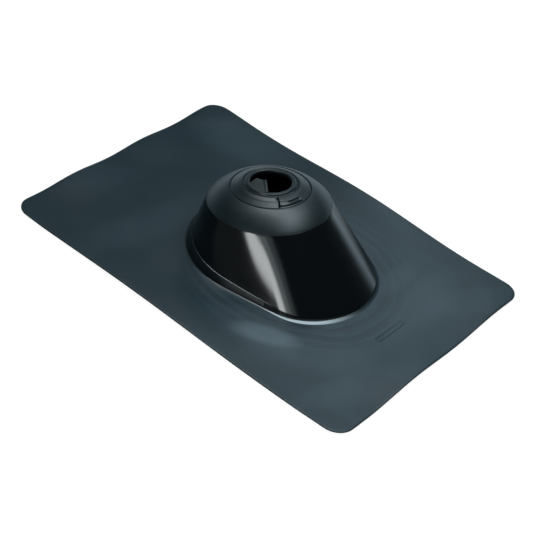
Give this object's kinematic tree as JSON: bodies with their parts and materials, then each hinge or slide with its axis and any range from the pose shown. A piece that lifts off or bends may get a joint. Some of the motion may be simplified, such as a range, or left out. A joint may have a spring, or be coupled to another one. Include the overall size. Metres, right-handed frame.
{
  "type": "pipe flashing boot",
  "caption": "Thin rectangular roof flashing with a hollow sloping hood and a stepped tear-ring rubber cap that seals round an upright vent pipe.",
  "frame": {"origin": "middle of the rectangular sheet, on its deck side", "axes": "+X down the roof along the long side of the sheet, +Y across the roof, +Z away from the deck"},
  "size_m": [0.4, 0.291, 0.0794],
  "materials": {
    "base_plastic": "moulded charcoal thermoplastic, satin sheet and glossy hood",
    "cap_rubber": "matte dark grey elastomer"
  },
  "bodies": {
    "root": {"roof_base": "base_plastic", "pipe_cap": "cap_rubber"}
  },
  "joints": []
}
